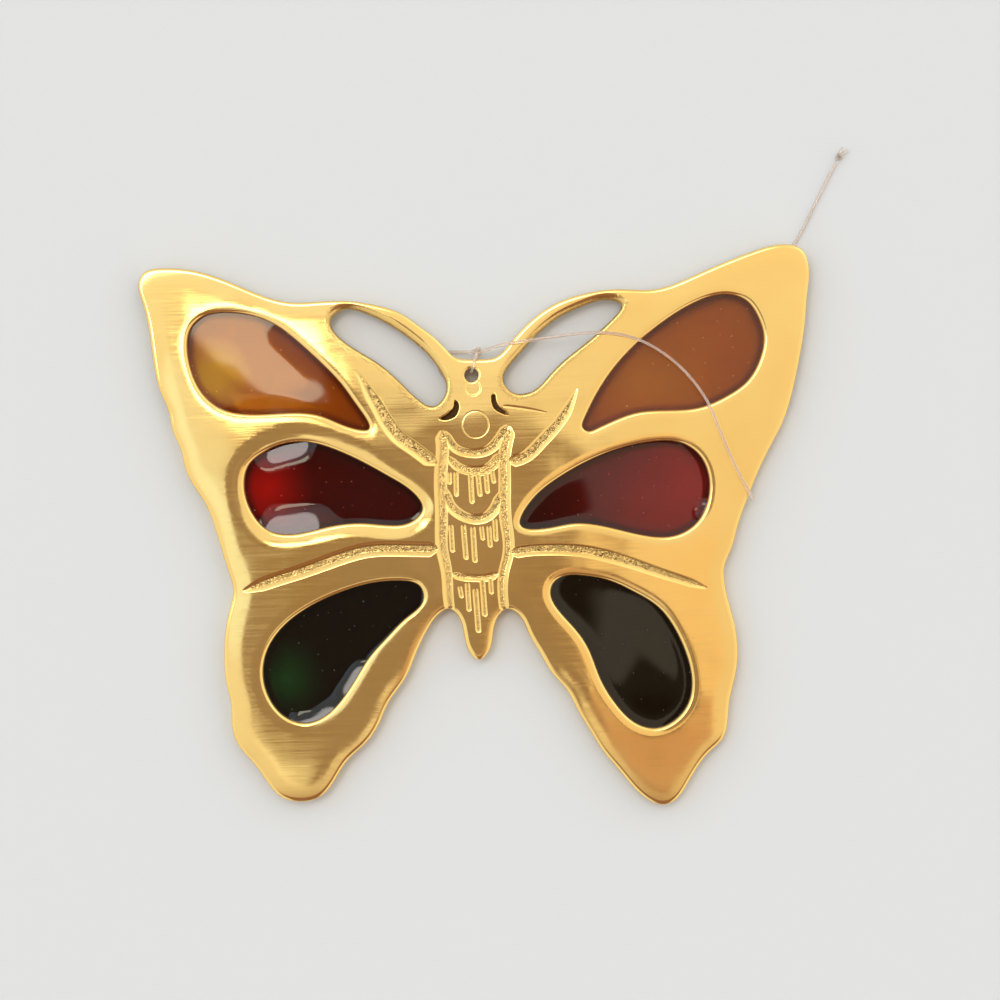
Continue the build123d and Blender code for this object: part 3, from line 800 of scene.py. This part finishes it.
# Routes in millimetres, as control points of a smooth spline
loop_route = [
    (0.2, 26.9, 2.05), (0.2, 26.7, 3.3), (-0.25, 25.5, 3.55), (-0.7, 23.9, 3.45), (-0.75, 23.7, 1.8),
    (-0.7, 23.9, 0.3), (-0.25, 25.5, 0.35), (0.2, 26.7, 0.4), (0.2, 26.9, 1.35),
]
back_tail_route = [
    (-0.15, 26.95, 1.65), (-1.1, 26.95, 1.35), (-2.0, 27.0, 0.75), (-3.0, 27.1, 0.32), (-4.0, 27.15, 0.27),
    (-4.89, 26.7, 0.25), (-5.48, 25.89, 0.25), (-5.64, 24.9, 0.25), (-5.33, 23.95, 0.25),
    (-4.55, 23.15, 0.25), (-3.4, 22.2, 0.25), (-2.0, 21.3, 0.25), (-0.2, 20.6, 0.25), (2.0, 20.1, 0.25),
    (4.6, 19.85, 0.25),
    (7.4, 20.0, 0.25), (10.4, 20.9, 0.25), (14.2, 22.7, 0.25), (19.2, 25.4, 0.25), (25.0, 28.5, 0.25),
    (31.0, 31.4, 0.25), (37.0, 34.0, 0.25), (42.0, 36.5, 0.25), (45.6, 38.8, 0.25), (48.0, 41.2, 0.25),
    (49.9, 44.4, 0.25), (51.8, 48.1, 0.28), (53.6, 51.5, 0.35), (54.95, 53.95, 0.45),
]
front_tail_route = [
    (0.55, 26.95, 1.75), (1.5, 27.1, 2.05), (2.6, 27.4, 2.9), (3.9, 27.75, 3.45), (6.4, 28.1, 3.5),
    (10.0, 28.5, 3.45), (14.1, 29.0, 3.4), (18.2, 29.2, 3.4), (21.8, 28.8, 3.4), (25.2, 27.6, 3.4),
    (28.4, 25.5, 3.4), (31.0, 23.1, 3.4), (33.1, 20.4, 3.4), (34.7, 17.6, 3.4), (35.9, 14.2, 3.4),
    (37.5, 10.0, 3.4), (39.2, 6.3, 3.4), (40.6, 3.7, 3.4),
]
nylon, tree = new_material("clear_nylon_monofilament")
place = add_node(tree, "ShaderNodeTexCoord").outputs["Object"]
# Drawn nylon, dulled by handling in patches of about 3 mm
dull = add_node(tree, "ShaderNodeTexNoise", {"Scale": 1 / 0.003, "Detail": 2.0}, {"Vector": place})
rough = add_node(tree, "ShaderNodeMapRange", {1: 0.3, 2: 0.7, 3: 0.1, 4: 0.2}, {0: dull.outputs[0]})
milky = add_node(tree, "ShaderNodeMix", {"data_type": "RGBA", 6: linear(nylon_clear), 7: linear(nylon_dull)},
                 {0: dull.outputs[0]})
thread = add_node(tree, "ShaderNodeBsdfPrincipled", {"Transmission Weight": 0.75, "IOR": 1.53},
                  {"Base Color": milky.outputs[2], "Roughness": rough.outputs[0]})
add_node(tree, "ShaderNodeOutputMaterial", links={"Surface": thread.outputs[0]})


def lay_run(curve, route):
    """Add a smooth spline whose control points are the route's, in millimetres, to a curve."""
    run = curve.splines.new("NURBS")
    run.points.add(len(route) - 1)
    for point, (x, y, z) in zip(run.points, route):
        point.co = (x / 1000, y / 1000, z / 1000, 1)
    run.order_u = 3
    run.use_endpoint_u = True


def nylon_line(name, route, radius):
    """A round line along a route."""
    curve = bpy.data.curves.new(name, "CURVE")
    curve.dimensions = "3D"
    curve.bevel_depth = radius
    curve.bevel_resolution = 3
    curve.resolution_u = 8
    curve.use_fill_caps = True
    curve.materials.append(nylon)
    lay_run(curve, route)
    piece = bpy.data.objects.new(name, curve)
    bpy.context.scene.collection.objects.link(piece)
    return piece


hanging_line = nylon_line("hanging_line", loop_route + back_tail_route, line_radius)
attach(hanging_line, "root")
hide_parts("line_bridge_loop", "line_back_tail")
front_tail = nylon_line("front_tail", front_tail_route, line_radius)
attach(front_tail, "root")
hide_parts("line_front_tail")

# Knots: the line itself, pulled tight in an overhand knot above the head and again at the far end, where two
# cut ends stand out of it.
head_knot_middle = (0.2, 26.95, 1.7)
end_knot_middle = (55.3, 54.6, 0.5)
tail_ends = [[end_knot_middle, (55.9, 55.0, 0.5), (56.7, 55.5, 0.5)],
             [end_knot_middle, (55.5, 55.3, 0.55), (55.9, 56.0, 0.6)]]


def overhand(name, middle, size, turn, radius, ends):
    """An overhand knot of the line, about this many millimetres across, with cut ends."""
    route = []
    for a in np.linspace(0, 2 * math.pi, 36, endpoint=False):
        x = (math.sin(a) + 2 * math.sin(2 * a)) / 6 * size
        y = (math.cos(a) - 2 * math.cos(2 * a)) / 6 * size
        z = -math.sin(3 * a) / 5 * size
        route.append((middle[0] + x * math.cos(turn) - y * math.sin(turn),
                      middle[1] + x * math.sin(turn) + y * math.cos(turn), middle[2] + z))
    curve = nylon_line(name, route, radius)
    for end in ends:
        lay_run(curve.data, end)
    curve.data.splines[0].use_cyclic_u = True
    curve.data.splines[0].use_endpoint_u = False
    pick(curve)
    bpy.ops.object.convert(target="MESH")
    bpy.ops.object.shade_smooth()
    return bpy.context.view_layer.objects.active


head_knot = overhand("head_knot", head_knot_middle, size=1.15, turn=0.4, radius=0.0002, ends=[])
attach(head_knot, "root")
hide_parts("line_knot")
end_knot = overhand("end_knot", end_knot_middle, size=0.8, turn=1.1, radius=0.00018, ends=tail_ends)
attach(end_knot, "root")
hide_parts("line_end_knot")

# Floor, light and camera: a plain pale table under a soft bright sky, with a soft box and a window up to the
# left and dimmer patches round the camera, and the camera straight above, turned as in the photograph.
table_colour = "#CED4DB"
table_size = 6  # metres, like the camera's height
table_drop = 0.00005
camera_height = 0.36
sensor_width = 36
picture_pixels = 1000
bpy.ops.mesh.primitive_plane_add(size=table_size, location=(0, 0, -table_drop))
floor = bpy.context.view_layer.objects.active
floor.name = "table"
bpy.ops.object.transform_apply(location=True, rotation=True, scale=True)
paper, tree = new_material("pale_table")
matt = add_node(tree, "ShaderNodeBsdfPrincipled", {"Base Color": linear(table_colour), "Roughness": 0.8})
add_node(tree, "ShaderNodeOutputMaterial", links={"Surface": matt.outputs[0]})
floor.data.materials.append(paper)

world = bpy.data.worlds.new("studio")
world.use_nodes = True
tree = world.node_tree
tree.nodes.clear()
sky = add_node(tree, "ShaderNodeTexCoord").outputs["Generated"]


def sky_ramp(axis, low, high, colours):
    """Colours over the sky by its direction along an axis."""
    along = add_node(tree, "ShaderNodeVectorMath", {"operation": "DOT_PRODUCT", 1: axis}, {0: sky})
    share = add_node(tree, "ShaderNodeMapRange", {1: low, 2: high}, {0: along.outputs["Value"]})
    ramp = add_node(tree, "ShaderNodeValToRGB", links={0: share.outputs[0]})
    stops = ramp.color_ramp.elements
    for at, colour in colours:
        stop = stops[0] if at == low else stops[-1] if at == high else stops.new((at - low) / (high - low))
        stop.color = (*colour, 1)
    return ramp.outputs[0]


def sky_patch(middle, turn, size, soft, inside, outside):
    """A colour in a soft patch of the sky, whose middle and half sizes are slopes, and another outside it."""
    place = add_node(tree, "ShaderNodeMapping",
                     {"vector_type": "TEXTURE", "Location": (*middle, 0), "Rotation": (0, 0, turn),
                      "Scale": (*size, 1e6)}, {"Vector": sky})
    square = add_node(tree, "ShaderNodeVectorMath", {"operation": "MULTIPLY"},
                      {0: place.outputs[0], 1: place.outputs[0]})
    far = add_node(tree, "ShaderNodeVectorMath", {"operation": "LENGTH"}, {0: square.outputs[0]})
    patch = add_node(tree, "ShaderNodeMapRange",
                     {"data_type": "FLOAT_VECTOR", "interpolation_type": "SMOOTHSTEP", 7: [1 - soft] * 3,
                      8: [1 + soft] * 3, 9: inside, 10: outside}, {6: far.outputs["Value"]})
    return patch.outputs[1]


unchanged = (1, 1, 1)
unlit = (0, 0, 0)
dim_colour = (0.26, 0.17, 0.125)
# Brighter from beyond the head
light = sky_ramp((-0.1, 0.995, 0), -1.0, 1.0, [
    (-1.0, (0.95, 0.92, 0.9)), (-0.12, (0.97, 0.95, 0.93)), (0.03, (1.0, 1.0, 1.0)),
    (0.13, (1.08, 1.1, 1.12)), (0.5, (1.4, 1.45, 1.5)), (1.0, (0.9, 0.9, 0.9)),
])
# Warmer from the right
warmth = sky_ramp((1, 0, 0), -0.5, 0.5, [
    (-0.5, (1.05, 1.05, 1.0)), (-0.14, (1.0, 1.0, 0.95)), (-0.05, (1.0, 0.98, 0.92)),
    (0.05, (1.0, 0.9, 0.74)), (0.13, (1.0, 0.87, 0.68)), (0.3, (1.1, 1.0, 0.82)), (0.5, (1.15, 1.08, 0.95)),
])
# Dim round the camera: two dark patches that overlap
dim = [sky_patch(middle, 0, half, 0.1, dim_colour, unchanged)
       for middle, half in (((-0.0365, -0.034), (0.0735, 0.074)), ((-0.054, -0.1), (0.029, 0.04)))]
dim = add_node(tree, "ShaderNodeVectorMath", {"operation": "MINIMUM"}, {0: dim[0], 1: dim[1]}).outputs[0]
# Patches that tint the light: middle, turn, half sizes, softness and colour
tints = [
    # Dark red below the camera
    ((0.06, -0.6), 0, (0.32, 0.43), 0.3, (0.22, 0.07, 0.045)),
    # Dim round the window and over the lower right
    ((-0.1, 0.055), 0, (0.045, 0.05), 0.4, (0.84, 0.74, 0.66)),
    ((0.055, -0.125), 0, (0.05, 0.04), 0.4, (0.63, 0.42, 0.36)),
    ((0.07, -0.06), 0, (0.04, 0.05), 0.5, (1.05, 0.93, 0.8)),
    ((0.062, -0.083), math.radians(-40), (0.017, 0.0105), 0.35, (0.3, 0.25, 0.2)),
    # Brighter and cooler at the lower left, over the camera and at the left edge
    ((-0.1, -0.118), 0, (0.018, 0.018), 0.3, (1.15, 1.22, 1.25)),
    ((-0.01, -0.004), 0, (0.017, 0.05), 0.5, (1.2, 1.26, 1.4)),
    ((-0.145, 0.0), 0, (0.035, 0.055), 0.5, (1.1, 1.3, 1.55)),
]
for part in [warmth, dim] + [sky_patch(*tint, unchanged) for tint in tints]:
    light = add_node(tree, "ShaderNodeVectorMath", {"operation": "MULTIPLY"}, {0: light, 1: part}).outputs[0]
# Soft box 18 degrees from the zenith, up to the left, and a window nearer to it
lamps = [
    ((-0.193, 0.243), math.radians(128.5), (0.09, 0.3), 0.4, (6.6, 6.1, 5.8)),
    ((-0.098, 0.067), math.radians(-40), (0.031, 0.0155), 0.2, (5.2, 5.0, 3.8)),
]
for part in [sky_patch(*lamp, unlit) for lamp in lamps]:
    light = add_node(tree, "ShaderNodeVectorMath", {"operation": "ADD"}, {0: light, 1: part}).outputs[0]
glow = add_node(tree, "ShaderNodeBackground", {"Strength": 1.0}, {0: light})
add_node(tree, "ShaderNodeOutputWorld", links={"Surface": glow.outputs[0]})
bpy.context.scene.world = world
bpy.context.scene.view_settings.view_transform = "Standard"

# Metres of the front face that the picture shows from side to side
view_width = picture_pixels * span_scale / 1000
lens = bpy.data.cameras.new("camera")
lens.sensor_width = sensor_width
lens.lens = sensor_width * camera_height / view_width
lens.clip_start = 0.01
centre = spot((picture_pixels / 2, picture_pixels / 2))
camera = bpy.data.objects.new("camera", lens)
camera.location = (centre[0] / 1000, centre[1] / 1000, camera_height + front_height / 1000)
camera.rotation_euler = (0, 0, -photo_turn)
bpy.context.scene.collection.objects.link(camera)
bpy.context.scene.camera = camera
